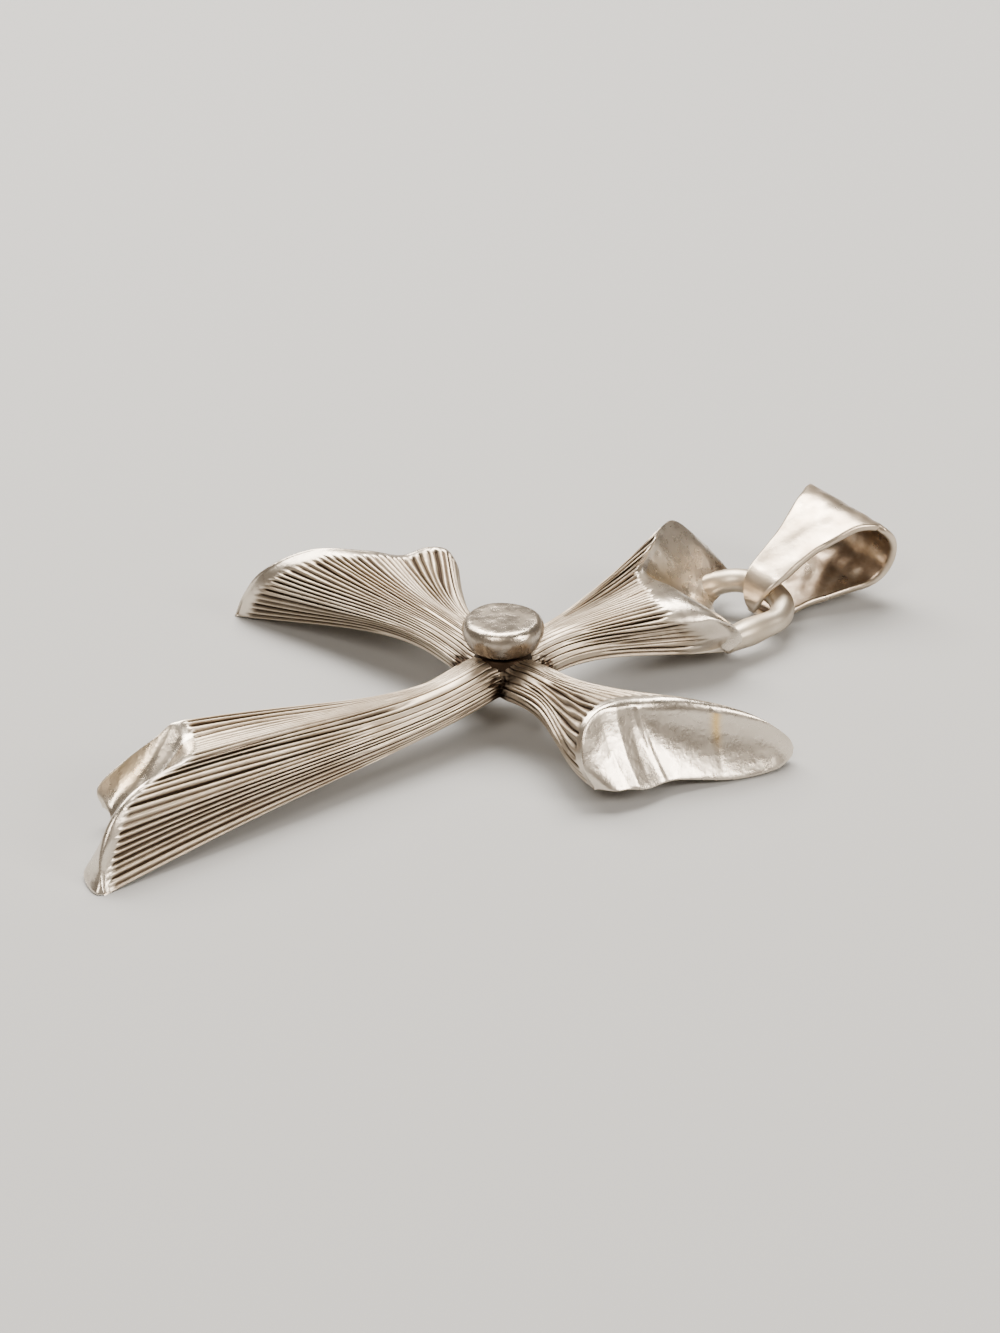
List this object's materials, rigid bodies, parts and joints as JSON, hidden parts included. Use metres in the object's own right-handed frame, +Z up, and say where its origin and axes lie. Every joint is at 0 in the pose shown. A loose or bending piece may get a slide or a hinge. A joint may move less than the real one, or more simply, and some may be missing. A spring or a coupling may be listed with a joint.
{
  "type": "cross pendant",
  "caption": "Fluted silver cross pendant with flared arms, a round centre stud, a wire loop and a folded leaf bail.",
  "frame": {"origin": "centre of the bounding box on the surface that the pendant lies on", "axes": "+X towards the right arm, +Y towards the top arm and the bail, +Z up out of the face"},
  "size_m": [0.0334, 0.0546, 0.0061],
  "materials": {
    "cast_silver": "aged silver, dark in the grooves, polished at the ends of the arms",
    "polished_silver": "polished silver with fine scratches",
    "sheet_silver": "polished sheet silver, tarnished inside"
  },
  "bodies": {
    "cross": {"cross": "cast_silver", "centre_stud": "polished_silver"},
    "bail": {"bail": "sheet_silver"}
  },
  "joints": [
    {"name": "bail_swing", "type": "hinge", "parent": "cross", "child": "bail", "pos_m": [0.00354, 0.01967, 0.00188], "axis": [0.9839, 0.0872, -0.1558], "range_deg": [0, 115]}
  ]
}
